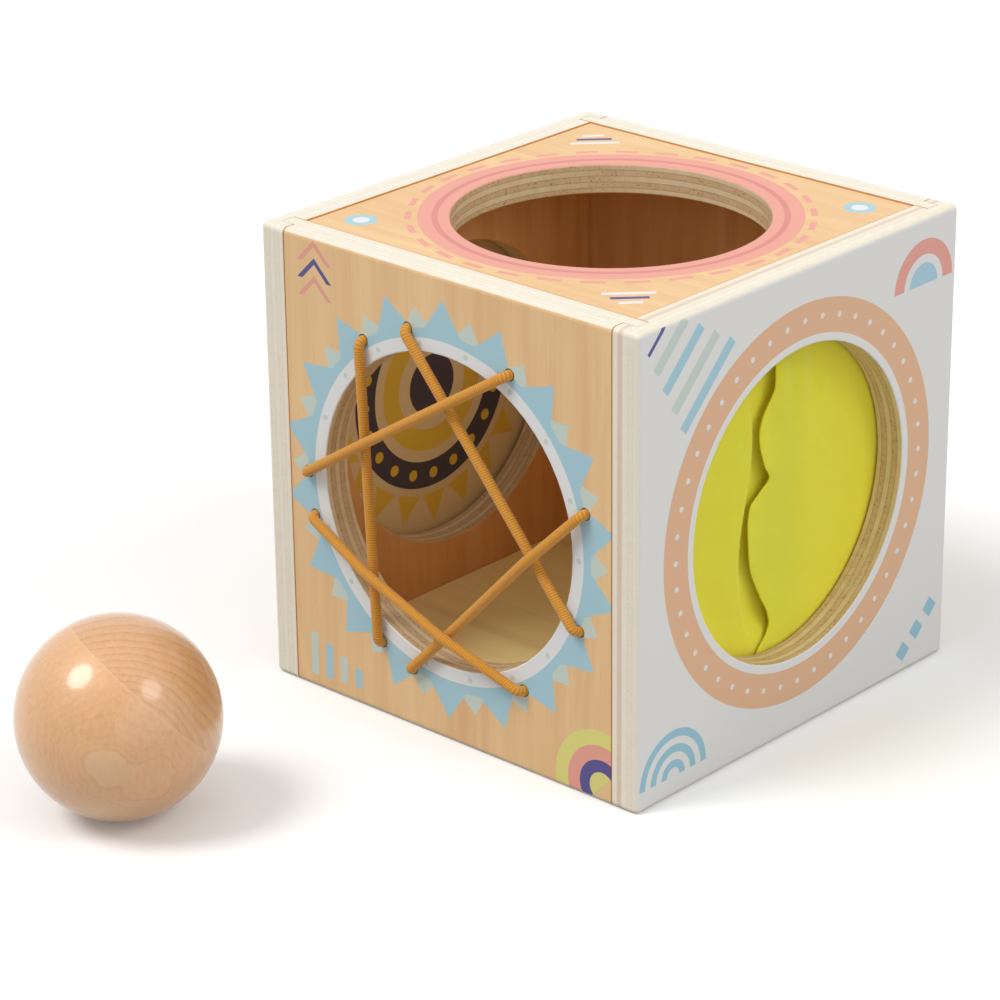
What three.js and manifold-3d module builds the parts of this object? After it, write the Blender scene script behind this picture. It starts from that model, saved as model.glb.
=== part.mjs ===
// Wooden activity cube: a glued plywood box whose sides hold an elastic web, a two-flap curtain and
// a swinging round door, with a drop hole on top and a loose ball beside it.
// Millimetres, +Z up. The origin is the centre of the box's underside.
// The elastic web is on the front (-Y), the curtain on the right (+X) and the door on the left (-X).
import * as THREE from 'three';
import { mergeVertices } from 'three/addons/utils/BufferGeometryUtils.js';
import { RoundedBoxGeometry } from 'three/addons/geometries/RoundedBoxGeometry.js';
import Module from 'manifold-3d';

const wasm = await Module();
wasm.setup();

// Box
const boxWidth = 123;
const boxDepth = 123;
const boxHeight = 123;
const boardThickness = 8;
const tongueThickness = 4;
const tongueDepth = 4;
const glueGap = 0.2;
const lidRecess = 0.3;
const outerEdgeRadius = 1.5;

// Round holes in the boards
const sideHoleRadius = 41;
const topHoleRadius = 40;
const holeEdgeRadius = 0.5;
const holeSides = 64;

// Elastic web on the front board
const cordDiameter = 2.7;
const cordClearance = 0.3;
const cordHoleMargin = 6;
const cordBendRadius = 1.9;
const cordBendSteps = 4;
const knotDiameter = 6;
const knotTurnLength = 2.3;
const knotTurns = 3;

// Curtain behind the right board
const clothThickness = 0.8;
const clothClearance = 0.3;
const clothEdgeMargin = 1;
const foldDepth = 6;
const foldWidth = 3;
const foldCentre = -10.2;
const foldSway = 2.4;
const foldSwayLength = 62;
const rearFlapReach = 10;
const freeEdgeMiddle = -8.8;
const freeEdgeFlare = 10;
const freeEdgeDip = -6;
const rippleLength = 20;
const rippleStart = 0.6;
const rippleSide = 2;
const rippleDepth = 1.2;
const rippleFade = 8;
const clampFade = 10;
const flapBandColumns = 5;
const flapRows = 24;

// Ring that clamps the curtain, and its screws
const ringSetBack = 1;
const ringWidth = 5.5;
const ringThickness = 2.5;
const ringEdgeRadius = 0.6;
const ringScrewCount = 6;
const ringScrewDiameter = 2.4;
const ringScrewHeadDiameter = 4.8;
const ringScrewHeadHeight = 1.4;
const ringScrewBite = 5;
const screwClearance = 0.3;
const seatGap = 0.1;

// Swinging door outside the left board
const doorOverlap = 11;
const doorThickness = 4;
const doorEdgeRadius = 1.2;
const pivotMargin = 6;
const pivotShoulderDiameter = 5;
const pivotRunningGap = 0.1;
const pivotThreadDiameter = 3.5;
const pivotBite = 6;
const pivotHeadDiameter = 10;
const pivotHeadHeight = 2.4;
const pivotSocketWidth = 3;
const pivotSocketDepth = 1.3;
const washerDiameter = 12;
const washerThickness = 1;

// Loose ball, lying on the same floor in front of the box
const ballDiameter = 50;
const ballShift = -33.6;
const ballDistance = 79;
const ballSides = 36;
const ballRings = 20;

// Places worked out from the sizes above
const fullTurn = 2 * Math.PI;
const innerWidth = boxWidth - 2 * boardThickness;
const innerDepth = boxDepth - 2 * boardThickness;
const holeHeight = boxHeight / 2;
const cordRadius = cordDiameter / 2;
const cordCircleRadius = sideHoleRadius + cordHoleMargin;
const doorRadius = sideHoleRadius + doorOverlap;
const pivotHeight = holeHeight + sideHoleRadius + pivotMargin;

// Colours and finishes
function finish(color, roughness, metalness = 0) {
  return new THREE.MeshStandardMaterial({ color, roughness, metalness });
}
const veneer = finish(0xcfae86, 0.55);
const topVeneer = finish(0xf2cda0, 0.55);
const whitePaint = finish(0xe9e8e4, 0.5);
const elastic = finish(0xd0902f, 0.85);
const yellowJersey = finish(0xd6cf3a, 0.9);
const turnedWood = finish(0xdfb987, 0.35);
const steel = finish(0xb9bbbd, 0.3, 1);
const nylon = finish(0xe6e3da, 0.5);

// A closed three.js geometry as a solid for joins and cuts.
function solidOf(geometry) {
  const bare = geometry.clone();
  bare.deleteAttribute('normal');
  bare.deleteAttribute('uv');
  const merged = mergeVertices(bare, 1e-4);
  const corners = merged.index.array;
  const triVerts = [];
  for (let i = 0; i < corners.length; i += 3) {
    const [a, b, c] = [corners[i], corners[i + 1], corners[i + 2]];
    if (a !== b && b !== c && c !== a) triVerts.push(a, b, c);
  }
  return new wasm.Manifold(new wasm.Mesh({
    numProp: 3,
    vertProperties: new Float32Array(merged.attributes.position.array),
    triVerts: new Uint32Array(triVerts),
  }));
}

// A solid back as a flat-shaded three.js geometry.
function geometryOf(solid) {
  const mesh = solid.getMesh();
  const geometry = new THREE.BufferGeometry();
  geometry.setAttribute('position', new THREE.BufferAttribute(mesh.vertProperties, 3));
  geometry.setIndex(new THREE.BufferAttribute(mesh.triVerts, 1));
  const flat = geometry.toNonIndexed();
  flat.computeVertexNormals();
  return flat;
}

function named(name, geometry, material) {
  const mesh = new THREE.Mesh(geometry, material);
  mesh.name = name;
  return mesh;
}

// A block between two corners.
function block(low, high) {
  const size = high.map((value, axis) => value - low[axis]);
  const middle = high.map((value, axis) => (value + low[axis]) / 2);
  return solidOf(new THREE.BoxGeometry(...size).translate(...middle));
}

// A turned solid about the local z axis, from [radius, z] points that start and end on the axis
// with z rising, or that close on themselves.
function turned(profile, sides) {
  const points = profile.map(([radius, z]) => new THREE.Vector2(radius, z));
  return solidOf(new THREE.LatheGeometry(points, sides).rotateX(Math.PI / 2));
}

// Points of a quarter round from one angle to another, both in degrees.
function quarter(centreRadius, centreZ, radius, from, to) {
  const steps = 2;
  return Array.from({ length: steps + 1 }, (_, step) => {
    const angle = THREE.MathUtils.degToRad(from + ((to - from) * step) / steps);
    return [centreRadius + radius * Math.cos(angle), centreZ + radius * Math.sin(angle)];
  });
}

// What a hole with softened rims takes out of a board that lies between two z levels.
function roundHole(radius, low, high) {
  const rim = radius + holeEdgeRadius;
  return turned([
    [0, low - 1],
    [rim, low - 1],
    ...quarter(rim, low + holeEdgeRadius, holeEdgeRadius, 270, 180),
    ...quarter(rim, high - holeEdgeRadius, holeEdgeRadius, 180, 90),
    [rim, high + 1],
    [0, high + 1],
  ], holeSides);
}

// A straight drilled hole along the local z axis.
function drilled(diameter, x, y, low, high) {
  const sides = 12;
  const bit = new THREE.CylinderGeometry(diameter / 2, diameter / 2, high - low, sides);
  return solidOf(bit.rotateX(Math.PI / 2).translate(x, y, (low + high) / 2));
}

// Each wall has a frame of its own: x to the right as seen from outside, y up from the floor and
// z outwards from the middle of the box.
function wallFrame(turn) {
  const frame = new THREE.Group();
  frame.rotation.set(Math.PI / 2, 0, turn, 'ZYX');
  return frame;
}
const front = wallFrame(0);
const right = wallFrame(Math.PI / 2);
const back = wallFrame(Math.PI);
const left = wallFrame(-Math.PI / 2);
const sideFace = boxWidth / 2;
const sideInner = sideFace - boardThickness;
const frontFace = boxDepth / 2;
const frontInner = frontFace - boardThickness;

// The outer edges of the box are rounded after gluing, so each wall is cut to one rounded block.
function roundedBlock(width, depth) {
  const shell = new RoundedBoxGeometry(width, boxHeight, depth, 3, outerEdgeRadius);
  return solidOf(shell.translate(0, holeHeight, 0));
}

// Side boards run the full depth and have a groove near each end for the tongues.
function sideBoard() {
  const board = block([-frontFace, 0, sideInner], [frontFace, boxHeight, sideFace]);
  const grooveFloor = sideInner + tongueDepth + glueGap;
  const grooveOuter = frontInner + tongueThickness + glueGap;
  const grooveInner = frontInner - glueGap;
  const frontGroove = block([-grooveOuter, -1, sideInner - 1], [-grooveInner, boxHeight + 1, grooveFloor]);
  const backGroove = block([grooveInner, -1, sideInner - 1], [grooveOuter, boxHeight + 1, grooveFloor]);
  const hole = roundHole(sideHoleRadius, sideInner, sideFace).translate(0, holeHeight, 0);
  return board
    .intersect(roundedBlock(boxDepth, boxWidth))
    .subtract(frontGroove)
    .subtract(backGroove)
    .subtract(hole);
}

// Front and back boards stand between the side boards, with a tongue along each end.
function tonguedBoard() {
  const shoulder = sideInner - glueGap;
  const tongueEnd = sideInner + tongueDepth;
  const step = frontInner + tongueThickness;
  const plan = new THREE.Shape([
    new THREE.Vector2(-shoulder, -frontFace),
    new THREE.Vector2(shoulder, -frontFace),
    new THREE.Vector2(shoulder, -step),
    new THREE.Vector2(tongueEnd, -step),
    new THREE.Vector2(tongueEnd, -frontInner),
    new THREE.Vector2(-tongueEnd, -frontInner),
    new THREE.Vector2(-tongueEnd, -step),
    new THREE.Vector2(-shoulder, -step),
  ]);
  const board = new THREE.ExtrudeGeometry(plan, { depth: boxHeight, bevelEnabled: false });
  return solidOf(board.rotateX(-Math.PI / 2)).intersect(roundedBlock(boxWidth, boxDepth));
}

// The lid and the floor are let in between the four walls.
function letInBoard(low) {
  const halfWidth = innerWidth / 2 - glueGap;
  const halfDepth = innerDepth / 2 - glueGap;
  return block([-halfWidth, -halfDepth, low], [halfWidth, halfDepth, low + boardThickness]);
}

// The web's ten holes lie on one circle. A run is a straight stretch across the front, between two
// holes given by their angles in degrees.
const runA = [124.6, 241.3];
const runB = [104.2, -22.8];
const runC = [181.7, 62.7];
const runD = [-57.4, 195.9];
const runE = [15.7, 255.1];
const runs = [runA, runB, runC, runD, runE];

function cordHole(degrees) {
  const angle = THREE.MathUtils.degToRad(degrees);
  return new THREE.Vector2(
    cordCircleRadius * Math.cos(angle),
    holeHeight + cordCircleRadius * Math.sin(angle),
  );
}

function frontBoard() {
  let board = tonguedBoard();
  board = board.subtract(roundHole(sideHoleRadius, frontInner, frontFace).translate(0, holeHeight, 0));
  const diameter = cordDiameter + 2 * cordClearance;
  for (const degrees of runs.flat()) {
    const { x, y } = cordHole(degrees);
    board = board.subtract(drilled(diameter, x, y, frontInner - 1, frontFace + 1));
  }
  return board;
}

// Where two runs cross, seen from the front.
function crossing(runOver, runUnder) {
  const [a, b] = runOver.map(cordHole);
  const [c, d] = runUnder.map(cordHole);
  const over = b.clone().sub(a);
  const under = d.clone().sub(c);
  const share = c.clone().sub(a).cross(under) / over.cross(under);
  return a.addScaledVector(over, share);
}

// The cord's corners, from one side of the knot round to the other. It lies on the board, goes over
// a crossing run in a straight climb, and passes from run to run behind the board.
const runLevel = frontFace + cordClearance + cordRadius;
const climbLevel = runLevel + cordDiameter + cordClearance;
const backLevel = frontInner - cordClearance - cordRadius;
const knotLevel = frontInner - cordClearance - knotDiameter / 2;
const knotLength = knotTurns * knotTurnLength;

function at(point, level) {
  return new THREE.Vector3(point.x, point.y, level);
}

function cordCorners() {
  const [a1, a2] = runA.map(cordHole);
  const [b1, b2] = runB.map(cordHole);
  const [c1, c2] = runC.map(cordHole);
  const [d1, d2] = runD.map(cordHole);
  const [e1, e2] = runE.map(cordHole);
  const knotCentre = a1.clone().lerp(b1, 0.5);
  const knotEnd = b1.clone().sub(a1).setLength(knotLength / 2 + cordClearance);
  return [
    at(knotCentre.clone().add(knotEnd), knotLevel), at(b1, knotLevel),
    at(b1, runLevel), at(b2, runLevel),
    at(b2, backLevel), at(d1, backLevel),
    at(d1, runLevel), at(crossing(runD, runE), climbLevel),
    at(crossing(runD, runA), climbLevel), at(d2, runLevel),
    at(d2, backLevel), at(c1, backLevel),
    at(c1, runLevel), at(crossing(runC, runA), climbLevel),
    at(crossing(runC, runB), climbLevel), at(c2, runLevel),
    at(c2, backLevel), at(e1, backLevel),
    at(e1, runLevel), at(crossing(runE, runB), climbLevel),
    at(crossing(runE, runD), runLevel), at(e2, runLevel),
    at(e2, backLevel), at(a2, backLevel),
    at(a2, runLevel), at(a1, runLevel),
    at(a1, knotLevel), at(knotCentre.clone().sub(knotEnd), knotLevel),
  ];
}

// A route through given points, with one step of the tube from each point to the next.
class Route extends THREE.Curve {
  constructor(points) {
    super();
    this.points = points;
  }

  getPoint(t) {
    const place = t * (this.points.length - 1);
    const index = Math.min(Math.floor(place), this.points.length - 2);
    return this.points[index].clone().lerp(this.points[index + 1], place - index);
  }

  getUtoTmapping(u) {
    return u;
  }
}

// The corners of a route, each replaced by an arc of the bend radius where it turns sharply.
function softened(corners) {
  const points = [corners[0]];
  for (let i = 1; i < corners.length - 1; i += 1) {
    const corner = corners[i];
    const before = corners[i - 1].clone().sub(corner).normalize();
    const after = corners[i + 1].clone().sub(corner).normalize();
    const turn = Math.PI - before.angleTo(after);
    if (turn < Math.PI / 6) {
      points.push(corner);
      continue;
    }
    const reach = cordBendRadius * Math.tan(turn / 2);
    const middle = before.clone().add(after).setLength(cordBendRadius / Math.cos(turn / 2)).add(corner);
    const start = corner.clone().addScaledVector(before, reach).sub(middle);
    const end = corner.clone().addScaledVector(after, reach).sub(middle);
    for (let step = 0; step <= cordBendSteps; step += 1) {
      const share = step / cordBendSteps;
      const arm = start.clone().multiplyScalar(Math.sin((1 - share) * turn) / Math.sin(turn));
      arm.addScaledVector(end, Math.sin(share * turn) / Math.sin(turn));
      points.push(arm.add(middle));
    }
  }
  points.push(corners[corners.length - 1]);
  return points;
}

function elasticCord() {
  const section = new THREE.Shape().absarc(0, 0, cordRadius, 0, fullTurn);
  const points = softened(cordCorners());
  return new THREE.ExtrudeGeometry(section, {
    curveSegments: 4,
    steps: points.length - 1,
    extrudePath: new Route(points),
  });
}

// The knot that closes the cord: a barrel of wound turns, pierced by nothing and tied behind the board.
function elasticKnot() {
  const stepsPerTurn = 4;
  const count = knotTurns * stepsPerTurn;
  const profile = [[0, -knotLength / 2]];
  for (let i = 0; i <= count; i += 1) {
    const along = i / stepsPerTurn;
    const bulge = Math.abs(Math.sin(Math.PI * along)) ** 0.6;
    const radius = (knotDiameter / 2) * (0.72 + 0.28 * bulge);
    profile.push([radius, (i / count - 0.5) * knotLength]);
  }
  profile.push([0, knotLength / 2]);
  return geometryOf(turned(profile, 12));
}

// Curtain. Places on it are measured from the middle of the hole, x to the right and y up.
const frontFlapLevel = sideInner - clothClearance - clothThickness / 2;
const rearFlapLevel = frontFlapLevel - clothThickness - clothClearance;
const ringInnerRadius = sideHoleRadius + ringSetBack;
const ringOuterRadius = ringInnerRadius + ringWidth;
const clothRadius = ringOuterRadius - clothEdgeMargin;

// Cloth hangs freely inside the hole and lies flat where the ring clamps it.
function freedom(x, y) {
  return THREE.MathUtils.smoothstep(sideHoleRadius - Math.hypot(x, y), 0, clampFade);
}

// The front flap's free edge bows towards the left at half height and ripples.
function frontFlapEdge(y) {
  const bow = freeEdgeFlare * ((y - freeEdgeDip) / clothRadius) ** 2;
  return freeEdgeMiddle + bow + rippleSide * Math.sin((fullTurn * (y - rippleStart)) / rippleLength);
}

function frontFlapDepth(x, y) {
  const wave = 0.5 + 0.5 * Math.cos((fullTurn * (y - freeEdgeDip)) / rippleLength + Math.PI);
  const nearEdge = Math.exp((frontFlapEdge(y) - x) / rippleFade);
  return -rippleDepth * wave * nearEdge * freedom(x, y);
}

// The rear flap turns inwards at a standing fold and runs on behind the front flap.
function foldLine(y) {
  return foldCentre + foldSway * Math.sin((fullTurn * y) / foldSwayLength);
}

function rearFlapDepth(x, y) {
  return -foldDepth * THREE.MathUtils.smoothstep(x - foldLine(y), 0, foldWidth) * freedom(x, y);
}

// A flap spans from its free edge to the round rim that the ring holds, in bands between lines that
// run from top to bottom. side is 1 for the flap held on the right and -1 for the one on the left.
function flap(side, level, lines, depth) {
  const bands = lines.length;
  const sheet = new THREE.BoxGeometry(1, 1, 1, bands * flapBandColumns, flapRows, 1);
  const place = sheet.attributes.position;
  const halfHeight = clothRadius * Math.sin(THREE.MathUtils.degToRad(80));
  for (let i = 0; i < place.count; i += 1) {
    const y = 2 * halfHeight * place.getY(i);
    const edge = lines[0](y);
    const rim = side * Math.sqrt(clothRadius ** 2 - y ** 2);
    const shares = lines.map((line, n) => Math.min((line(y) - edge) / (rim - edge), n / bands + 0.1));
    shares.push(1);
    const across = bands * (side * place.getX(i) + 0.5);
    const band = Math.min(Math.floor(across + 1e-6), bands - 1);
    const share = THREE.MathUtils.lerp(shares[band], shares[band + 1], across - band);
    const x = THREE.MathUtils.lerp(edge, rim, share);
    const z = level + depth(x, y) + clothThickness * place.getZ(i);
    place.setXYZ(i, x, y + holeHeight, z);
  }
  return solidOf(sheet);
}

function frontFlap() {
  const lines = [frontFlapEdge, (y) => frontFlapEdge(y) + rippleFade];
  return flap(1, frontFlapLevel, lines, frontFlapDepth);
}

function rearFlap() {
  const lines = [() => rearFlapReach, (y) => foldLine(y) + foldWidth, foldLine];
  return flap(-1, rearFlapLevel, lines, rearFlapDepth);
}

// Screw places round the ring, two of them at the ends of the slit, where both flaps overlap.
const ringScrewCircle = ringInnerRadius + ringWidth / 2;
const ringScrewPlaces = Array.from({ length: ringScrewCount }, (_, i) => {
  const angle = fullTurn * (i / ringScrewCount + 0.25);
  return new THREE.Vector2(
    ringScrewCircle * Math.cos(angle),
    holeHeight + ringScrewCircle * Math.sin(angle),
  );
});
const ringFace = rearFlapLevel - clothThickness / 2 - clothClearance;
const ringBack = ringFace - ringThickness;

function withScrewHoles(solid, low, high) {
  const diameter = ringScrewDiameter + 2 * screwClearance;
  return ringScrewPlaces.reduce(
    (cut, { x, y }) => cut.subtract(drilled(diameter, x, y, low, high)),
    solid,
  );
}

function curtainRing() {
  const round = ringEdgeRadius;
  const corner = ringInnerRadius + ringWidth - round;
  const ring = turned([
    [ringInnerRadius, ringBack],
    ...quarter(corner, ringBack + round, round, 270, 360),
    ...quarter(corner, ringFace - round, round, 0, 90),
    [ringInnerRadius, ringFace],
    [ringInnerRadius, ringBack],
  ], holeSides);
  return withScrewHoles(ring.translate(0, holeHeight, 0), ringBack - 1, ringFace + 1);
}

function rightBoard() {
  return withScrewHoles(sideBoard(), sideInner - 1, sideInner + ringScrewBite + screwClearance);
}

// A pan-head wood screw along z, its head below the ring and its point in the board.
function ringScrew() {
  const headRadius = ringScrewHeadDiameter / 2;
  const shankRadius = ringScrewDiameter / 2;
  const seat = ringBack - seatGap;
  const tip = sideInner + ringScrewBite;
  return turned([
    [0, seat - ringScrewHeadHeight],
    [headRadius * 0.6, seat - ringScrewHeadHeight],
    [headRadius, seat - ringScrewHeadHeight * 0.4],
    [headRadius, seat],
    [shankRadius, seat],
    [shankRadius, tip - shankRadius],
    [0, tip],
  ], 12);
}

// Door: a round board that hangs on one shoulder screw near its top and covers the hole.
const doorInner = sideFace + washerThickness + 2 * seatGap;
const doorOuter = doorInner + doorThickness;

function door() {
  const corner = doorRadius - doorEdgeRadius;
  const disc = turned([
    [0, doorInner],
    ...quarter(corner, doorInner + doorEdgeRadius, doorEdgeRadius, 270, 360),
    ...quarter(corner, doorOuter - doorEdgeRadius, doorEdgeRadius, 0, 90),
    [0, doorOuter],
  ], holeSides);
  const boreRadius = pivotShoulderDiameter / 2 + pivotRunningGap;
  const bore = turned([
    [0, doorInner - 1],
    [boreRadius, doorInner - 1],
    [boreRadius, doorOuter + 1],
    [0, doorOuter + 1],
  ], 32);
  return disc.translate(0, holeHeight, 0).subtract(bore.translate(0, pivotHeight, 0));
}

function leftBoard() {
  const diameter = pivotThreadDiameter + 2 * screwClearance;
  const floor = sideFace - pivotBite - screwClearance;
  return sideBoard().subtract(drilled(diameter, 0, pivotHeight, floor, sideFace + 1));
}

// The shoulder screw: its shoulder stands on the board and its domed head keeps the door on.
function pivotScrew() {
  const thread = pivotThreadDiameter / 2;
  const shoulder = pivotShoulderDiameter / 2;
  const head = pivotHeadDiameter / 2;
  const tip = sideFace - pivotBite;
  const headSeat = doorOuter + seatGap;
  const headTop = headSeat + pivotHeadHeight;
  const screw = turned([
    [0, tip],
    [thread, tip + thread],
    [thread, sideFace + seatGap],
    [shoulder, sideFace + seatGap],
    [shoulder, headSeat],
    [head, headSeat],
    [head, headSeat + pivotHeadHeight * 0.4],
    [head * 0.85, headSeat + pivotHeadHeight * 0.8],
    [head * 0.6, headTop],
    [0, headTop],
  ], 32);
  const across = pivotSocketWidth / 2 / Math.cos(Math.PI / 6);
  const socket = new THREE.CylinderGeometry(across, across, 2 * pivotSocketDepth, 6);
  return screw
    .subtract(solidOf(socket.rotateX(Math.PI / 2).translate(0, 0, headTop)))
    .translate(0, pivotHeight, 0);
}

function pivotWasher() {
  const inner = pivotShoulderDiameter / 2 + screwClearance;
  const outer = washerDiameter / 2;
  const low = sideFace + seatGap;
  const high = low + washerThickness;
  const ring = turned([
    [inner, low],
    [outer, low],
    [outer, high],
    [inner, high],
    [inner, low],
  ], 32);
  return ring.translate(0, pivotHeight, 0);
}

// Assembly
front.add(named('front_panel', geometryOf(frontBoard()), veneer));
front.add(named('elastic_cord', elasticCord(), elastic));
const knotAxis = cordHole(runB[0]).sub(cordHole(runA[0]));
const knot = named('elastic_knot', elasticKnot().rotateX(-Math.PI / 2), elastic);
const knotPlace = cordHole(runA[0]).lerp(cordHole(runB[0]), 0.5);
knot.position.set(knotPlace.x, knotPlace.y, knotLevel);
knot.rotation.z = knotAxis.angle() - Math.PI / 2;
front.add(knot);

back.add(named('back_panel', geometryOf(tonguedBoard()), veneer));

right.add(named('right_panel', geometryOf(rightBoard()), whitePaint));
const clothLow = rearFlapLevel - foldDepth - clothThickness;
const pierced = (cloth) => geometryOf(withScrewHoles(cloth, clothLow, sideInner));
right.add(named('curtain_front_flap', pierced(frontFlap()), yellowJersey));
right.add(named('curtain_rear_flap', pierced(rearFlap()), yellowJersey));
right.add(named('curtain_ring', geometryOf(curtainRing()), veneer));
ringScrewPlaces.forEach(({ x, y }, i) => {
  const screw = named(`curtain_ring_screw_${i + 1}`, geometryOf(ringScrew()), steel);
  screw.position.set(x, y, 0);
  right.add(screw);
});

left.add(named('left_panel', geometryOf(leftBoard()), veneer));
left.add(named('swing_door', geometryOf(door()), veneer));
left.add(named('door_pivot_screw', geometryOf(pivotScrew()), steel));
left.add(named('door_washer', geometryOf(pivotWasher()), nylon));

const lidLow = boxHeight - lidRecess - boardThickness;
const lid = letInBoard(lidLow).subtract(roundHole(topHoleRadius, lidLow, lidLow + boardThickness));
const topPanel = named('top_panel', geometryOf(lid), topVeneer);
const bottomPanel = named('bottom_panel', geometryOf(letInBoard(0)), veneer);

const ball = named('ball', new THREE.SphereGeometry(ballDiameter / 2, ballSides, ballRings), turnedWood);
ball.position.set(ballShift, -frontFace - ballDistance, ballDiameter / 2);

const activityCube = new THREE.Group();
activityCube.add(front, right, back, left, topPanel, bottomPanel, ball);

export default activityCube;
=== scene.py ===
"""Looks of the wooden activity cube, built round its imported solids. Metres, +Z up.

The elastic web is on the front (-Y), the curtain on the right (+X) and the door on the left (-X).
"""
import math

import bmesh
import bpy
from mathutils import Matrix, Vector, noise


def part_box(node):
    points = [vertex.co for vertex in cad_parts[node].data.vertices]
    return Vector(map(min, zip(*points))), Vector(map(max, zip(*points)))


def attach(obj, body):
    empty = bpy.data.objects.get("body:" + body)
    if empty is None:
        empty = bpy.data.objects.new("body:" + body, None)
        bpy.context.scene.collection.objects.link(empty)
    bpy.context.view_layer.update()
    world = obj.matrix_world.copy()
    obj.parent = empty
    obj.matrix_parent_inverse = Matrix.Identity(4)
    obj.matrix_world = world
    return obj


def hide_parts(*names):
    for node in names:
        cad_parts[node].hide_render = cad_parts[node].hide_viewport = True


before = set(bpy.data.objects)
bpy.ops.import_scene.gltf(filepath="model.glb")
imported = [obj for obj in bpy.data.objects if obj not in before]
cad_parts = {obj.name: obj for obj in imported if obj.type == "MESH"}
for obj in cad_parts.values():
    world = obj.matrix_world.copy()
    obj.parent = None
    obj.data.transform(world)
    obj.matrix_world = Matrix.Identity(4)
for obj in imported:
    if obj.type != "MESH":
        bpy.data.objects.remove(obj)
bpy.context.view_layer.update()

# Sizes read from the solids
half_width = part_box("right_panel")[1].x
half_depth = -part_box("front_panel")[0].y
box_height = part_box("right_panel")[1].z
board_thickness = half_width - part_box("right_panel")[0].x
hole_height = box_height / 2
front_inner = half_depth - board_thickness
side_inner = half_width - board_thickness
ball_low, ball_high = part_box("ball")
ball_centre = (ball_low + ball_high) / 2
ball_radius = (ball_high.z - ball_low.z) / 2

# Round holes
side_hole_radius = 0.041

# Solids' shading
weld_distance = 0.000002
sharp_edge_angle = 50.0

# Plywood
glue_line_width = 0.00012
face_depth = 0.00025
rim_margin = 0.001
grain_relief = 0.00006

# Elastic web
cord_diameter = 0.0027
cord_clearance = 0.0003
cord_hole_margin = 0.006
cord_bend_radius = 0.0019
cord_slope_radius = 0.0076
cord_slope_angle = 30.0
cord_bend_steps = 8
least_turn = 0.0001
cord_sides = 14
rib_pitch = 0.00065
rib_depth = 0.00008
rib_rings = 4
knot_diameter = 0.006
knot_turn_length = 0.0023
knot_turns = 3
knot_turn_steps = 24

# Curtain
cloth_thickness = 0.0005
cad_cloth_thickness = 0.0008
cloth_clearance = 0.0003
cloth_radius = 0.0465
fold_depth = 0.0028
fold_width = 0.0022
fold_centre = -0.0098
fold_sway = 0.0024
fold_sway_length = 0.062
rear_flap_reach = 0.010
clamp_fade = 0.010
front_slack = 0.0016
front_slack_reach = 0.012
rear_slack = 0.0010
rear_slack_reach = 0.012
pleat_depth = 0.0006
pleat_pitch = 0.0085
pleat_lean = 0.1
pleat_low = 0.004
pleat_high = 0.034
ripple_depth = 0.0008
ripple_length = 0.020
ripple_start = 2.0
ripple_reach = 0.007
curl_depth = 0.0003
curl_reach = 0.0010
crease_depth = 0.0004
flap_end_angle = 80.0
flap_rows = 150
flap_columns = 90
column_crowding = 1.4
ring_screw_count = 6
wale_pitch = 0.00062
course_pitch = 0.00050

# Ball: turned from a blank of two glued pieces, with places measured from its middle
glue_normal = Vector((0.305, 0.672, 0.675))
glue_offset = 0.0088
glue_groove_depth = 0.00004
glue_groove_width = 0.00035
glue_blend = 0.0001
ball_subdivisions = 7
upper_heart = (0.0042, -0.0016, -0.0094)
upper_heart_along = (0.624, -0.676, 0.392)
upper_ring_spacing = 0.0016
upper_ring_sway = 0.0022
lower_ring_spacing = 0.0019
lower_ring_sway = 0.011
patch_one = Vector((0.685, -0.729, 0.004)) * ball_radius
patch_one_radius = 0.0052
patch_two = Vector((0.873, -0.433, -0.226)) * ball_radius
patch_two_radius = 0.0062
patch_blend = 0.004

# Printed inks
ink_edge = 0.00012
ink_cover = 0.95

# Photograph's camera
camera_place = (0.5752, -0.6654, 0.4199)
camera_azimuth = 42.69
camera_elevation = 23.05
camera_roll = -0.67
camera_lens = 134.2
camera_sensor = 36.0

# Floor and light: a lamp has a strength, then its azimuth, elevation and width in degrees
floor_reach = 6.0
floor_gap = 0.0001
floor_bounce = 0.42
floor_glow = 0.08
world_level = 0.42
lamps = {
    "key": (1.62, -32.0, 54.0, 26.0),
    "overhead": (0.30, 0.0, 88.0, 60.0),
    "fill": (0.52, 104.0, 44.0, 22.0),
    "side": (0.70, 80.0, 12.0, 70.0),
}


def srgb(red, green, blue):
    """A colour given as it looks on a screen, from 0 to 255, as linear light."""
    channels = []
    for value in (red, green, blue):
        share = value / 255
        channels.append(share / 12.92 if share <= 0.04045 else ((share + 0.055) / 1.055) ** 2.4)
    return (*channels, 1.0)


# Colours
veneer_light = srgb(241, 204, 153)
veneer_dark = srgb(222, 175, 123)
veneer_rose = srgb(225, 171, 123)
# Inner veneer: darker and deeper inside the walls as painted shade, paler on the inner floor as painted
# light
inner_wood_painted_shade = (srgb(222, 164, 104), srgb(198, 136, 78))
inner_floor_wood_painted_light = (srgb(255, 236, 168), srgb(250, 220, 144))
edge_light = srgb(244, 238, 223)
edge_dark = srgb(236, 224, 200)
edge_warm = srgb(216, 180, 152)
# Hole rims: painted shade and painted warm bounce light
rim_shade_pale = srgb(236, 216, 180)
rim_shade_dark = srgb(212, 180, 138)
rim_glue = srgb(150, 112, 74)
pore = srgb(146, 102, 62)
paint_white = srgb(233, 232, 229)
ink_white = srgb(234, 234, 233)
ink_blue = srgb(166, 207, 221)
ink_deep_blue = srgb(150, 199, 216)
ink_mint = srgb(201, 216, 207)
ink_tan = srgb(230, 182, 142)
ink_coral = srgb(233, 160, 146)
ink_rose = srgb(216, 138, 130)
ink_navy = srgb(66, 72, 142)
ink_lime = srgb(226, 220, 128)
ink_mustard = srgb(216, 174, 52)
ink_night = srgb(42, 40, 62)
ink_beige = srgb(216, 188, 140)
steel_light = srgb(204, 206, 208)
steel_dark = srgb(184, 186, 190)
nylon_light = srgb(238, 235, 226)
nylon_dark = srgb(222, 218, 206)
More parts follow.
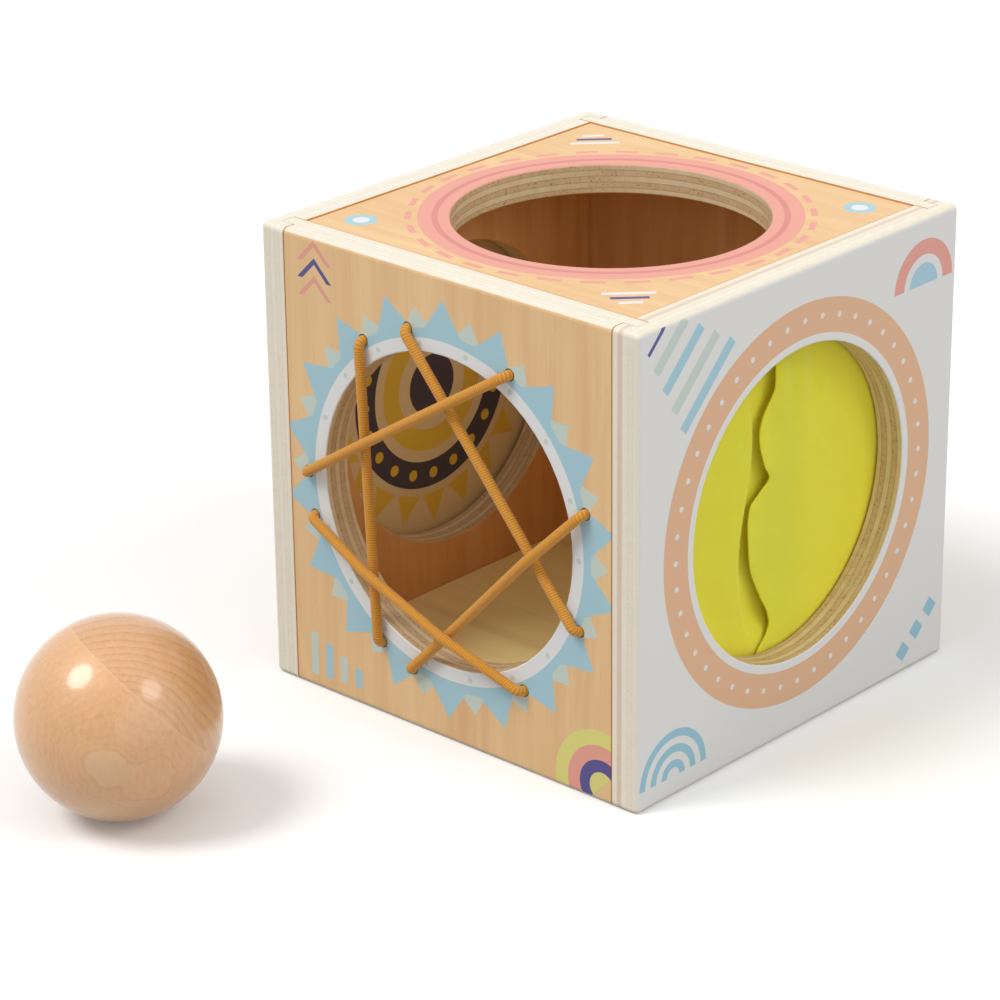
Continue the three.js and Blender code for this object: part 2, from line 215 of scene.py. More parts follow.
elastic_light = srgb(242, 178, 66)
elastic_dark = srgb(222, 150, 44)
elastic_worn = srgb(234, 170, 78)
# Painted shade in the elastic's grooves
elastic_groove_shade = srgb(160, 88, 20)
jersey_light = srgb(246, 240, 72)
jersey_dark = srgb(239, 229, 54)
jersey_stitch = srgb(204, 186, 10)
jersey_fuzz = srgb(246, 244, 130)
upper_light = srgb(221, 169, 118)
upper_dark = srgb(182, 122, 74)
lower_light = srgb(228, 175, 123)
lower_dark = srgb(192, 134, 84)
island_pale = srgb(224, 184, 140)
island_line = srgb(170, 110, 66)
seam_pale = srgb(236, 190, 144)
floor_light = srgb(252, 252, 251)
floor_dark = srgb(250, 250, 249)


class Look:
    """A material, with short calls that add the nodes its surfaces share."""

    def __init__(self, name, sockets):
        self.material = bpy.data.materials.new(name)
        self.material.use_nodes = True
        self.tree = self.material.node_tree
        self.shader = self.tree.nodes["Principled BSDF"]
        for socket, value in sockets.items():
            self.shader.inputs[socket].default_value = value
        place = self.node("ShaderNodeTexCoord")
        self.point = place.outputs["Object"]
        self.normal = place.outputs["Normal"]

    def node(self, kind, **settings):
        made = self.tree.nodes.new(kind)
        for name, value in settings.items():
            setattr(made, name, value)
        return made

    def put(self, value, socket):
        """Links an output to a socket, or sets a plain value on it."""
        if isinstance(value, bpy.types.NodeSocket):
            self.tree.links.new(value, socket)
        else:
            socket.default_value = value

    def math(self, operation, *values):
        made = self.node("ShaderNodeMath", operation=operation)
        for value, socket in zip(values, made.inputs):
            self.put(value, socket)
        return made.outputs[0]

    def scaled(self, value, factor, offset=0.0):
        return self.math("MULTIPLY_ADD", value, factor, offset)

    def step(self, value, low, high):
        """0 below low, 1 above high, smooth between."""
        made = self.node("ShaderNodeMapRange", interpolation_type="SMOOTHSTEP")
        self.put(value, made.inputs["Value"])
        made.inputs["From Min"].default_value = low
        made.inputs["From Max"].default_value = high
        return made.outputs[0]

    def mix(self, share, under, over):
        """Two colours mixed. The node's sockets go by number, because their names repeat."""
        made = self.node("ShaderNodeMix", data_type="RGBA")
        self.put(share, made.inputs[0])
        self.put(under, made.inputs[6])
        self.put(over, made.inputs[7])
        return made.outputs[2]

    def axes(self, vector):
        made = self.node("ShaderNodeSeparateXYZ")
        self.put(vector, made.inputs[0])
        return made.outputs

    def joined(self, x, y, z=0.0):
        made = self.node("ShaderNodeCombineXYZ")
        for value, socket in zip((x, y, z), made.inputs):
            self.put(value, socket)
        return made.outputs[0]

    def length(self, vector):
        made = self.node("ShaderNodeVectorMath", operation="LENGTH")
        self.put(vector, made.inputs[0])
        return made.outputs["Value"]

    def placed(self, vector, location=(0, 0, 0), turn=(0, 0, 0), scale=(1, 1, 1), kind="POINT"):
        made = self.node("ShaderNodeMapping", vector_type=kind)
        self.put(vector, made.inputs["Vector"])
        made.inputs["Location"].default_value = location
        made.inputs["Rotation"].default_value = turn
        made.inputs["Scale"].default_value = scale
        return made.outputs[0]

    def noise(self, vector, scale, detail=2.0, roughness=0.5, distortion=0.0):
        made = self.node("ShaderNodeTexNoise")
        self.put(vector, made.inputs["Vector"])
        made.inputs["Scale"].default_value = scale
        made.inputs["Detail"].default_value = detail
        made.inputs["Roughness"].default_value = roughness
        made.inputs["Distortion"].default_value = distortion
        return made.outputs["Fac"]

    def colour(self, value):
        self.put(value, self.shader.inputs["Base Color"])

    def roughness(self, value):
        self.put(value, self.shader.inputs["Roughness"])

    def bump(self, height, distance, strength):
        made = self.node("ShaderNodeBump")
        made.inputs["Strength"].default_value = strength
        made.inputs["Distance"].default_value = distance
        self.put(height, made.inputs["Height"])
        self.put(made.outputs[0], self.shader.inputs["Normal"])


class Print:
    """Inks laid one over another on a face. Places are in metres from the middle of the face's hole.

    A shape is a distance to its outline, above zero inside it.
    """

    def __init__(self, look, u, v, ground):
        self.look = look
        self.face = look.joined(u, v)
        self.colour = ground

    def at(self, u, v, turn=0.0, face=None):
        """The face as seen from a shape's own middle."""
        face = self.face if face is None else face
        return self.look.placed(face, (u, v, 0), (0, 0, math.radians(turn)), kind="TEXTURE")

    def spokes(self, count, turn=0.0):
        """The face as seen from the hole's middle along the nearest of some spokes, which points up."""
        look = self.look
        u, v, _ = look.axes(self.face)
        angle = look.math("SUBTRACT", look.math("ARCTAN2", u, v), math.radians(turn))
        folded = look.math("WRAP", angle, math.pi / count, -math.pi / count)
        radius = look.length(self.face)
        across = look.math("MULTIPLY", radius, look.math("SINE", folded))
        along = look.math("MULTIPLY", radius, look.math("COSINE", folded))
        return look.joined(across, along)

    def disc(self, place, radius):
        return self.look.math("SUBTRACT", radius, self.look.length(place))

    def band(self, place, inner, outer):
        look = self.look
        off = look.math("ABSOLUTE", look.math("SUBTRACT", look.length(place), (inner + outer) / 2))
        return look.math("SUBTRACT", (outer - inner) / 2, off)

    def bar(self, place, width, height):
        look = self.look
        x, y, _ = look.axes(place)
        across = look.math("SUBTRACT", width / 2, look.math("ABSOLUTE", x))
        along = look.math("SUBTRACT", height / 2, look.math("ABSOLUTE", y))
        return look.math("MINIMUM", across, along)

    def triangle(self, place, width, height):
        """A triangle that stands on its base."""
        look = self.look
        x, y, _ = look.axes(place)
        slope = look.scaled(y, -width / 2 / height, width / 2)
        return look.math("MINIMUM", y, look.math("SUBTRACT", slope, look.math("ABSOLUTE", x)))

    def upper(self, place, shape):
        """The half of a shape that lies above its middle."""
        return self.look.math("MINIMUM", shape, self.look.axes(place)[1])

    def lay(self, shape, ink):
        cover = self.look.scaled(self.look.step(shape, 0.0, ink_edge), ink_cover)
        self.colour = self.look.mix(cover, self.colour, ink)


def wood(look, along, light, dark, shift=0.0):
    """Colour and height of a planed birch face, with the grain along one of the axes 0, 1 or 2."""
    def stretched(share):
        scale = [1.0, 1.0, 1.0]
        scale[along] = share
        return look.placed(look.point, (shift, shift, shift), scale=scale)

    flow = look.noise(stretched(0.16), 34.0, 2.0, 0.45, 0.4)
    rings = look.math("SINE", look.scaled(flow, 62.0))
    streaks = look.noise(stretched(0.025), 190.0, 3.0, 0.55)
    fibres = look.noise(stretched(0.02), 2100.0, 2.0, 0.6)
    flecks = look.step(look.noise(stretched(0.09), 1500.0, 1.0), 0.66, 0.76)
    patches = look.noise(look.point, 24.0, 2.0)
    blush = look.step(look.noise(stretched(0.04), 85.0, 2.0), 0.54, 0.72)
    shade = look.scaled(rings, 0.07, 0.06)
    shade = look.math("ADD", shade, look.scaled(look.step(streaks, 0.32, 0.72), 0.40))
    shade = look.math("ADD", shade, look.scaled(look.step(fibres, 0.25, 0.75), 0.20))
    shade = look.math("ADD", shade, look.scaled(flecks, 0.20))
    shade = look.math("ADD", shade, look.scaled(patches, 0.6, -0.30))
    plain = look.mix(shade, light, dark)
    return look.mix(look.scaled(blush, 0.6), plain, veneer_rose), fibres


def plies(look, depth, thickness, layers, warm_layer, along_normal, across_normal, rim):
    """Colour of a cut plywood edge: a band for each layer, porous where the cut crosses its fibres.

    Rims of the holes are more porous than the sanded outer edges, and painted darker and browner:
    painted shade and painted warm light bounced from inside the box.
    """
    parity = 0.0
    glue = 0.0
    for layer in range(1, layers):
        line = thickness * layer / layers
        passed = look.step(depth, line - glue_line_width, line + glue_line_width)
        parity = look.math("ABSOLUTE", look.math("SUBTRACT", parity, passed))
        off = look.math("ABSOLUTE", look.math("SUBTRACT", depth, line))
        near = look.math("SUBTRACT", 1.0, look.step(off, 0.0, 2 * glue_line_width))
        glue = look.math("MAXIMUM", glue, near)
    crosswise = look.math("MULTIPLY", parity, look.math("ABSOLUTE", across_normal))
    straight = look.math("SUBTRACT", 1.0, parity)
    lengthwise = look.math("MULTIPLY", straight, look.math("ABSOLUTE", along_normal))
    end_grain = look.step(look.math("ADD", crosswise, lengthwise), 0.35, 0.95)
    mottle = look.scaled(look.noise(look.point, 420.0, 3.0, 0.6), 0.9, -0.15)
    pores = look.step(look.noise(look.point, 1500.0, 2.0, 0.6), 0.56, 0.70)
    body = look.mix(look.scaled(end_grain, 0.22, mottle), edge_light, edge_dark)
    body = look.mix(look.scaled(look.math("MULTIPLY", pores, end_grain), 0.12), body, pore)
    if warm_layer:
        middle = thickness * (warm_layer - 0.5) / layers
        off = look.math("ABSOLUTE", look.math("SUBTRACT", depth, middle))
        band = look.step(off, 0.3 * thickness / layers, 0.45 * thickness / layers)
        body = look.mix(look.scaled(band, -0.55, 0.55), body, edge_warm)
    body = look.mix(look.scaled(glue, 0.10), body, rim_glue)
    # Hole rims painted darker and browner: painted shade and painted warm bounce light, with pores and
    # glue lines
    rim_with_painted_shade = look.mix(look.scaled(end_grain, 0.6, mottle), rim_shade_pale, rim_shade_dark)
    rim_with_painted_shade = look.mix(look.scaled(look.math("MULTIPLY", pores, end_grain), 0.7), rim_with_painted_shade, pore)
    rim_with_painted_shade = look.mix(look.scaled(glue, 0.45), rim_with_painted_shade, rim_glue)
    return look.mix(rim, body, rim_with_painted_shade), look.math("MULTIPLY", pores, end_grain)


class Board:
    """A plywood board's material: veneer on both faces and plies on every cut edge. The inner face's own
    veneer colours hold painted shade, and painted light on the box's floor.

    The outer face looks along an axis with a sign, and outer is its distance from the origin that way.
    """

    def __init__(self, node, axis, sign, grain, layers=5, warm_layer=0, inner=inner_wood_painted_shade, shift=0.0):
        low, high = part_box(node)
        outer = max(sign * low[axis], sign * high[axis])
        thickness = high[axis] - low[axis]
        self.look = look = Look(node, {"Roughness": 0.5, "Specular IOR Level": 0.35})
        self.places = look.axes(look.point)
        normals = look.axes(look.normal)
        depth = look.scaled(self.places[axis], -sign, outer)
        self.outside = look.math("LESS_THAN", depth, face_depth)
        self.inside = look.math("GREATER_THAN", depth, thickness - face_depth)
        flat = Vector((1, 1, 1))
        flat[axis] = 0
        middle = flat * ((low + high) / 2)
        across = look.length(look.placed(look.point, tuple(-middle), scale=tuple(flat)))
        rim = look.math("LESS_THAN", across, side_hole_radius + rim_margin)
        fresh, fibres = wood(look, grain, veneer_light, veneer_dark, shift)
        # The inner face's veneer in its own colours: painted shade on the walls, painted light on the
        # floor
        inside_painted_shade_and_light, _ = wood(look, grain, *inner, shift + 0.2)
        along_normal, across_normal = normals[grain], normals[3 - axis - grain]
        edge, pores = plies(look, depth, thickness, layers, warm_layer, along_normal, across_normal, rim)
        self.height = look.math("SUBTRACT", look.scaled(fibres, 0.5), look.scaled(pores, 0.8))
        self.face = look.mix(self.outside, look.mix(self.inside, edge, inside_painted_shade_and_light), fresh)

    def printed(self, colour):
        self.face = self.look.mix(self.outside, self.face, colour)

    def done(self):
        self.look.colour(self.face)
        self.look.bump(self.height, grain_relief, 0.5)
        return self.look.material


def front_print(look, u, v, ground):
    """A sun of triangles round the hole, with chevrons, bars and arcs in the corners."""
    ray_count = 18
    ray_foot = 0.0465
    ring_inner = 0.0400
    chevron_size = (0.0120, 0.0060)
    chevron_stroke = 0.0018
    art = Print(look, u, v, ground)
    middle = art.at(0, 0)
    rays = art.spokes(ray_count)
    between = art.spokes(ray_count, 180 / ray_count)
    art.lay(art.triangle(art.at(0, ray_foot, face=between), 0.0100, 0.0060), ink_mint)
    art.lay(art.triangle(art.at(0, ray_foot, face=rays), 0.0125, 0.0090), ink_blue)
    art.lay(art.band(middle, ring_inner, 0.0472), ink_blue)
    art.lay(art.band(middle, ring_inner, 0.0448), ink_white)
    art.lay(art.disc(art.at(0, 0.0432, face=between), 0.0008), ink_mint)
    for number, ink in enumerate((ink_coral, ink_navy, ink_coral)):
        foot = 0.0455 + 0.0046 * number
        outer = art.triangle(art.at(-0.0430, foot), *chevron_size)
        hollow = art.triangle(art.at(-0.0430, foot - chevron_stroke), *chevron_size)
        art.lay(look.math("MINIMUM", outer, look.math("MULTIPLY", hollow, -1.0)), ink)
    corner = art.at(0.0505, -0.0575, 45)
    for radius, ink in ((0.0150, ink_lime), (0.0110, ink_coral), (0.0072, ink_navy), (0.0040, ink_lime)):
        art.lay(art.upper(corner, art.disc(corner, radius)), ink)
    for number, ink in enumerate((ink_mint, ink_blue, ink_mint, ink_blue)):
        place = art.at(-0.0470 + 0.0052 * number, -0.0520 - 0.0008 * number, 90)
        art.lay(art.bar(place, 0.0120 - 0.0022 * number, 0.0026), ink)
    return art.colour


def right_print(look, u, v, ground):
    """A plain tan ring with a line of dots, and bars, arcs and diamonds in the corners."""
    dot_count = 44
    dot_radius = 0.0008
    bar_width = 0.0030
    arc_width = 0.0022
    diamond_side = 0.0042
    art = Print(look, u, v, ground)
    art.lay(art.band(art.at(0, 0), 0.0432, 0.0522), ink_tan)
    art.lay(art.disc(art.at(0, 0.0477, face=art.spokes(dot_count)), dot_radius), ink_white)
    for number, ink in enumerate((ink_mint, ink_blue, ink_mint, ink_blue)):
        place = art.at(-0.0500 + 0.0045 * number, 0.0555 - 0.0045 * number, 45)
        art.lay(art.bar(place, 0.0150 + 0.0035 * number, bar_width), ink)
    art.lay(art.bar(art.at(-0.0545, 0.0588, 45), 0.0100, 0.0012), ink_navy)
    hill = art.at(0.0475, 0.0440)
    for radius, ink in ((0.0120, ink_coral), (0.0080, ink_white), (0.0058, ink_blue)):
        art.lay(art.upper(hill, art.disc(hill, radius)), ink)
    arc = art.at(-0.0480, -0.0560)
    for radius in (0.0125, 0.0085, 0.0045):
        art.lay(art.upper(arc, art.band(arc, radius - arc_width, radius)), ink_deep_blue)
    for number in range(3):
        place = art.at(0.0440 + 0.0055 * number, -0.0555 + 0.0045 * number, 45)
        art.lay(art.bar(place, diamond_side, diamond_side), ink_deep_blue)
    return art.colour


def top_print(look, u, v, ground):
    """Two coral rings, the outer one broken into dashes, with small bars and discs in the corners."""
    dash_count = 30
    corner_distance = 0.0620
    art = Print(look, u, v, ground)
    middle = art.at(0, 0)
    art.lay(art.band(middle, 0.0395, 0.0482), ink_coral)
    art.lay(art.band(middle, 0.0430, 0.0446), ink_rose)
    art.lay(art.bar(art.at(0, 0.0504, face=art.spokes(dash_count)), 0.0062, 0.0018), ink_coral)
    for turn in (45, 225):
        place = art.at(0, corner_distance, face=art.spokes(1, turn))
        art.lay(art.disc(place, 0.0042), ink_blue)
        art.lay(art.disc(place, 0.0022), ink_white)
    for turn in (135, 315):
        corner = art.spokes(1, turn)
        for number, ink in enumerate((ink_white, ink_navy, ink_white)):
            place = art.at(0, 0.0580 + 0.0032 * number, face=corner)
            art.lay(art.bar(place, 0.0130 - 0.0036 * number, 0.0017), ink)
    return art.colour


def door_print(look, u, v, ground):
    """Rings, dots and triangles in mustard and dark blue round the door's middle."""
    ray_count = 20
    art = Print(look, u, v, ground)
    middle = art.at(0, 0)
    rays = art.spokes(ray_count)
    art.lay(art.disc(middle, 0.0085), ink_night)
    art.lay(art.band(middle, 0.0125, 0.0185), ink_mustard)
    art.lay(art.band(middle, 0.0215, 0.0290), ink_night)
    art.lay(art.disc(art.at(0, 0.0253, face=rays), 0.0016), ink_mustard)
    art.lay(art.triangle(art.at(0, 0.0310, face=rays), 0.0088, 0.0085), ink_mustard)
    return art.colour


def smooth_group(limit):
    """Shades faces smooth and keeps edges sharp where they turn by more than a limit in degrees."""
    group = bpy.data.node_groups.new("smooth_shading", "GeometryNodeTree")
    group.interface.new_socket("Geometry", in_out="INPUT", socket_type="NodeSocketGeometry")
    group.interface.new_socket("Geometry", in_out="OUTPUT", socket_type="NodeSocketGeometry")
    start = group.nodes.new("NodeGroupInput")
    end = group.nodes.new("NodeGroupOutput")
    faces = group.nodes.new("GeometryNodeSetShadeSmooth")
    edges = group.nodes.new("GeometryNodeSetShadeSmooth")
    edges.domain = "EDGE"
    edges.inputs["Shade Smooth"].default_value = False
    angle = group.nodes.new("GeometryNodeInputMeshEdgeAngle")
    sharp = group.nodes.new("FunctionNodeCompare")
    sharp.operation = "GREATER_THAN"
    sharp.inputs["B"].default_value = math.radians(limit)
    group.links.new(start.outputs[0], faces.inputs["Geometry"])
    group.links.new(faces.outputs[0], edges.inputs["Geometry"])
    group.links.new(angle.outputs["Unsigned Angle"], sharp.inputs["A"])
    group.links.new(sharp.outputs["Result"], edges.inputs["Selection"])
    group.links.new(edges.outputs[0], end.inputs[0])
    return group


smooth_shading = smooth_group(sharp_edge_angle)


def dress(node, material):
    """Gives a solid its material and smooth shading over its rounded edges."""
    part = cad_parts[node]
    part.data.materials.clear()
    part.data.materials.append(material)
    weld = part.modifiers.new("weld", "WELD")
    weld.merge_threshold = weld_distance
    shading = part.modifiers.new("smooth", "NODES")
    shading.node_group = smooth_shading
    weighted = part.modifiers.new("weighted", "WEIGHTED_NORMAL")
    weighted.keep_sharp = True


def linked(name, mesh, material):
    """Puts a mesh into the scene, smooth and in its material."""
    mesh.materials.append(material)
    mesh.polygons.foreach_set("use_smooth", [True] * len(mesh.polygons))
    mesh.update()
    piece = bpy.data.objects.new(name, mesh)
    bpy.context.scene.collection.objects.link(piece)
    return piece


def new_piece(name, places, faces, material):
    mesh = bpy.data.meshes.new(name)
    mesh.from_pydata(places, [], faces)
    return linked(name, mesh, material)


# Boards

def upright(board):
    """Height above the middle of a wall's hole."""
    return board.look.scaled(board.places[2], 1.0, -hole_height)


def board_materials():
    """One material for each board, by node name."""
    front = Board("front_panel", 1, -1, 2, shift=0.31)
    front.printed(front_print(front.look, front.places[0], upright(front), front.face))
    right = Board("right_panel", 0, 1, 2, warm_layer=4, shift=0.77)
    right.printed(right_print(right.look, right.places[1], upright(right), paint_white))
    top = Board("top_panel", 2, 1, 0, shift=0.13)
    top.printed(top_print(top.look, top.places[0], top.places[1], top.face))
    door = Board("swing_door", 0, -1, 2, layers=3, shift=0.45)
    rings = door_print(door.look, door.places[1], upright(door), ink_beige)
    door.printed(rings)
    door.face = door.look.mix(door.inside, door.face, rings)
    return {
        "front_panel": front,
        "right_panel": right,
        "top_panel": top,
        "swing_door": door,
        "back_panel": Board("back_panel", 1, 1, 2, shift=0.53),
        "left_panel": Board("left_panel", 0, -1, 2, shift=0.94),
        # The inner floor's paler veneer is painted light
        "bottom_panel": Board("bottom_panel", 2, -1, 0, inner=inner_floor_wood_painted_light, shift=0.68),
        "curtain_ring": Board("curtain_ring", 0, -1, 2, layers=3, shift=0.22),
    }


def steel_material():
    look = Look("steel", {"Metallic": 1.0})
    scratches = look.noise(look.placed(look.point, scale=(0.1, 1, 1)), 6000.0, 3.0)
    look.colour(look.mix(scratches, steel_light, steel_dark))
    look.roughness(look.scaled(scratches, 0.25, 0.2))
    look.bump(scratches, 0.00001, 0.4)
    return look.material


def nylon_material():
    look = Look("nylon", {"Subsurface Weight": 0.1})
    clouds = look.noise(look.point, 700.0, 3.0)
    look.colour(look.mix(clouds, nylon_light, nylon_dark))
    look.roughness(look.scaled(clouds, 0.2, 0.35))
    look.bump(clouds, 0.00002, 0.3)
    return look.material


for node, board_look in board_materials().items():
    dress(node, board_look.done())
steel = steel_material()
dress("door_pivot_screw", steel)
for number in range(1, ring_screw_count + 1):
    dress(f"curtain_ring_screw_{number}", steel)
dress("door_washer", nylon_material())


# Elastic web: the runs are straight stretches between two holes, given by their angles in degrees.
run_a = (124.6, 241.3)
run_b = (104.2, -22.8)
run_c = (181.7, 62.7)
run_d = (-57.4, 195.9)
run_e = (15.7, 255.1)
cord_radius = cord_diameter / 2
run_level = half_depth + cord_clearance + cord_radius
climb_level = run_level + cord_diameter + cord_clearance
back_level = front_inner - cord_clearance - cord_radius
knot_level = front_inner - cord_clearance - knot_diameter / 2
knot_length = knot_turns * knot_turn_length


def cord_hole(degrees):
    angle = math.radians(degrees)
    return Vector((math.cos(angle), math.sin(angle))) * (side_hole_radius + cord_hole_margin)


def crossing(run_over, run_under):
    """Where two runs cross, seen from the front."""
    start, end = map(cord_hole, run_over)
    under_start, under_end = map(cord_hole, run_under)
    over = end - start
    under = under_end - under_start
    share = (under_start - start).cross(under) / over.cross(under)
    return start + over * share


def on_front(point, level):
    """A point of the front face, from its hole's middle, at a distance from the box's middle."""
    return Vector((point.x, -level, hole_height + point.y))


def cord_corners():
    a1, a2 = map(cord_hole, run_a)
    b1, b2 = map(cord_hole, run_b)
    c1, c2 = map(cord_hole, run_c)
    d1, d2 = map(cord_hole, run_d)
    e1, e2 = map(cord_hole, run_e)
    knot = (a1 + b1) / 2
    knot_end = (b1 - a1).normalized() * (knot_length / 2 + cord_clearance)
    places = [
        (knot + knot_end, knot_level), (b1, knot_level),
        (b1, run_level), (b2, run_level),
        (b2, back_level), (d1, back_level),
        (d1, run_level), (crossing(run_d, run_e), climb_level),
        (crossing(run_d, run_a), climb_level), (d2, run_level),
        (d2, back_level), (c1, back_level),
        (c1, run_level), (crossing(run_c, run_a), climb_level),
        (crossing(run_c, run_b), climb_level), (c2, run_level),
        (c2, back_level), (e1, back_level),
        (e1, run_level), (crossing(run_e, run_b), climb_level),
        (crossing(run_e, run_d), run_level), (e2, run_level),
        (e2, back_level), (a2, back_level),
        (a2, run_level), (a1, run_level),
        (a1, knot_level), (knot - knot_end, knot_level),
    ]
    return [on_front(point, level) for point, level in places]


def softened(corners):
    """A route's corners, each replaced by an arc that touches both sides, wider where it only slopes."""
    points = [corners[0]]
    for before, corner, after in zip(corners, corners[1:], corners[2:]):
        inward = (before - corner).normalized()
        outward = (after - corner).normalized()
        turn = math.pi - inward.angle(outward)
        if turn < least_turn:
            points.append(corner)
            continue
        wide = cord_bend_radius if turn > math.radians(cord_slope_angle) else cord_slope_radius
        middle = corner + (inward + outward).normalized() * (wide / math.cos(turn / 2))
        start = corner + inward * (wide * math.tan(turn / 2)) - middle
        end = corner + outward * (wide * math.tan(turn / 2)) - middle
        for step in range(cord_bend_steps + 1):
            share = step / cord_bend_steps
            arm = start * math.sin((1 - share) * turn) + end * math.sin(share * turn)
            points.append(middle + arm / math.sin(turn))
    points.append(corners[-1])
    return points


def evenly(points, spacing):
    """Points at even steps along a route."""
    lengths = [(b - a).length for a, b in zip(points, points[1:])]
    count = round(sum(lengths) / spacing)
    step = sum(lengths) / count
    made = []
    passed = 0.0
    index = 0
    for number in range(count + 1):
        wanted = min(number * step, sum(lengths) - 1e-9)
        while passed + lengths[index] < wanted:
            passed += lengths[index]
            index += 1
        made.append(points[index].lerp(points[index + 1], (wanted - passed) / lengths[index]))
    return made


def ribbed_tube(name, route, material):
    """A closed tube whose yarn winds round it, with the depth of each groove kept for the painted shade
    that darkens it.
    """
    points = evenly(route, rib_pitch / rib_rings)
    places, grooves, faces = [], [], []
    ahead = (points[1] - points[0]).normalized()
    side = ahead.orthogonal().normalized()
    for ring, point in enumerate(points):
        ahead = (points[min(ring + 1, len(points) - 1)] - points[max(ring - 1, 0)]).normalized()
        side = (side - ahead * side.dot(ahead)).normalized()
        up = ahead.cross(side)
        for corner in range(cord_sides):
            turn = corner / cord_sides
            wave = 0.5 - 0.5 * math.cos(2 * math.pi * (ring / rib_rings + turn))
            angle = 2 * math.pi * turn
            out = side * math.cos(angle) + up * math.sin(angle)
            places.append(point + out * (cord_radius - rib_depth * (1 - wave)))
            grooves.append(1 - wave)
    for ring in range(len(points) - 1):
        for corner in range(cord_sides):
            following = (corner + 1) % cord_sides
            low, high = ring * cord_sides, (ring + 1) * cord_sides
            faces.append((low + corner, low + following, high + following, high + corner))
    faces.append(tuple(reversed(range(cord_sides))))
    faces.append(tuple(range(len(places) - cord_sides, len(places))))
    piece = new_piece(name, places, faces, material)
    groove = piece.data.attributes.new("groove", "FLOAT", "POINT")
    groove.data.foreach_set("value", grooves)
    return piece


def elastic_material():
    look = Look("elastic", {"Roughness": 0.75, "Sheen Weight": 0.25, "Specular IOR Level": 0.25})
    groove = look.node("ShaderNodeAttribute", attribute_name="groove").outputs["Fac"]
    yarn = look.noise(look.point, 5200.0, 2.0, 0.6)
    worn = look.noise(look.point, 160.0, 3.0)
    thread = look.mix(yarn, elastic_light, elastic_dark)
    thread = look.mix(look.scaled(worn, 0.5), thread, elastic_worn)
    # Grooves painted darker by their depth: painted shade
    look.colour(look.mix(look.scaled(groove, 0.6), thread, elastic_groove_shade))
    look.bump(yarn, 0.00004, 0.5)
    return look.material


elastic = elastic_material()
cord = ribbed_tube("elastic_web", softened(cord_corners()), elastic)
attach(cord, "box")
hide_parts("elastic_cord")


def knot_route():
    """The turns that close the elastic behind the board, between its two ends."""
    start, end = cord_hole(run_a[0]), cord_hole(run_b[0])
    middle = on_front((start + end) / 2, knot_level)
    along = (on_front(end, knot_level) - on_front(start, knot_level)).normalized()
    out = Vector((0, 1, 0))
    up = along.cross(out)
    winding = knot_diameter / 2 - cord_radius
    steps = knot_turns * knot_turn_steps
    made = []
    for step in range(steps + 1):
        share = step / steps - 0.5
        angle = 2 * math.pi * step / knot_turn_steps
        arm = out * math.cos(angle) + up * math.sin(angle)
        made.append(middle + along * (share * (knot_length - cord_diameter)) + arm * winding)
    return made


knot = ribbed_tube("elastic_knot_turns", knot_route(), elastic)
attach(knot, "box")
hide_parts("elastic_knot")


# Curtain: places on it are measured from the middle of the right hole, x to the right and y up.
front_flap_level = side_inner - cloth_clearance - cad_cloth_thickness / 2
rear_flap_level = front_flap_level - cad_cloth_thickness - cloth_clearance
# The front flap's free edge, as heights and places across the hole
free_edge = (
    (-0.046, -0.0080), (-0.040, -0.0050), (-0.0372, -0.0015), (-0.034, -0.0002), (-0.027, -0.0032),
    (-0.016, -0.0078), (-0.008, -0.0088), (-0.001, -0.0072), (0.0024, -0.0030), (0.0046, -0.0008),
    (0.0085, -0.0030), (0.0145, -0.0044), (0.0205, -0.0034), (0.0268, 0.0006), (0.0333, 0.0012),
    (0.046, 0.0022),
)


def smoothstep(value, low, high):
    share = min(max((value - low) / (high - low), 0.0), 1.0)
    return share * share * (3 - 2 * share)


def freedom(x, y):
    """0 where the ring clamps the cloth, 1 where it hangs freely."""
    return smoothstep(side_hole_radius - math.hypot(x, y), 0.0, clamp_fade)


def smooth_line(points, place):
    """A smooth line through given points, each a place and a value."""
    index = 0
    while index < len(points) - 2 and points[index + 1][0] < place:
        index += 1
    values = [points[min(max(index + offset, 0), len(points) - 1)][1] for offset in (-1, 0, 1, 2)]
    low, high = points[index][0], points[index + 1][0]
    t = min(max((place - low) / (high - low), 0.0), 1.0)
    a, b, c, d = values
    return b + 0.5 * t * (c - a + t * (2 * a - 5 * b + 4 * c - d + t * (3 * (b - c) + d - a)))


def front_edge(y):
    return smooth_line(free_edge, y)


def creases(x, y, across, along, seed):
    """Soft uneven creases, closer across the cloth than along it."""
    return -crease_depth * (0.5 + 0.5 * noise.noise((x * across, y * along, seed)))


def front_depth(x, y):
    """The front flap is drawn flat from the rim, with soft pleats from its top and a rippled edge."""
    off = x - front_edge(y)
    wave = 0.5 + 0.5 * math.sin(2 * math.pi * (x + pleat_lean * y) / pleat_pitch)
    pleats = -pleat_depth * wave * smoothstep(y, pleat_low, pleat_high)
    wave = 0.5 + 0.5 * math.sin(2 * math.pi * y / ripple_length + ripple_start)
    ripple = -ripple_depth * wave * math.exp(-off / ripple_reach)
    curl = -curl_depth * math.exp(-off / curl_reach)
    hang = max(1 - (math.hypot(x, y) / side_hole_radius) ** 2, 0.0)
    slack = -front_slack * hang * (1 - math.exp(-off / front_slack_reach))
    return (pleats + ripple + curl + slack + creases(x, y, 70, 22, 2.0)) * freedom(x, y)


def fold_line(y):
    return fold_centre + fold_sway * math.sin(2 * math.pi * y / fold_sway_length)


def rear_edge(_):
    """The rear flap's edge, hidden behind the front flap, is straight at every height."""
    return rear_flap_reach


def rear_depth(x, y):
    """The rear flap turns inwards at a standing fold and runs on behind the front flap."""
    turned = -fold_depth * smoothstep(x - fold_line(y), 0.0, fold_width)
    slack = -rear_slack * smoothstep(fold_line(y) - x, 0.0, rear_slack_reach)
    return (turned + slack + creases(x, y, 80, 26, 7.0)) * freedom(x, y)


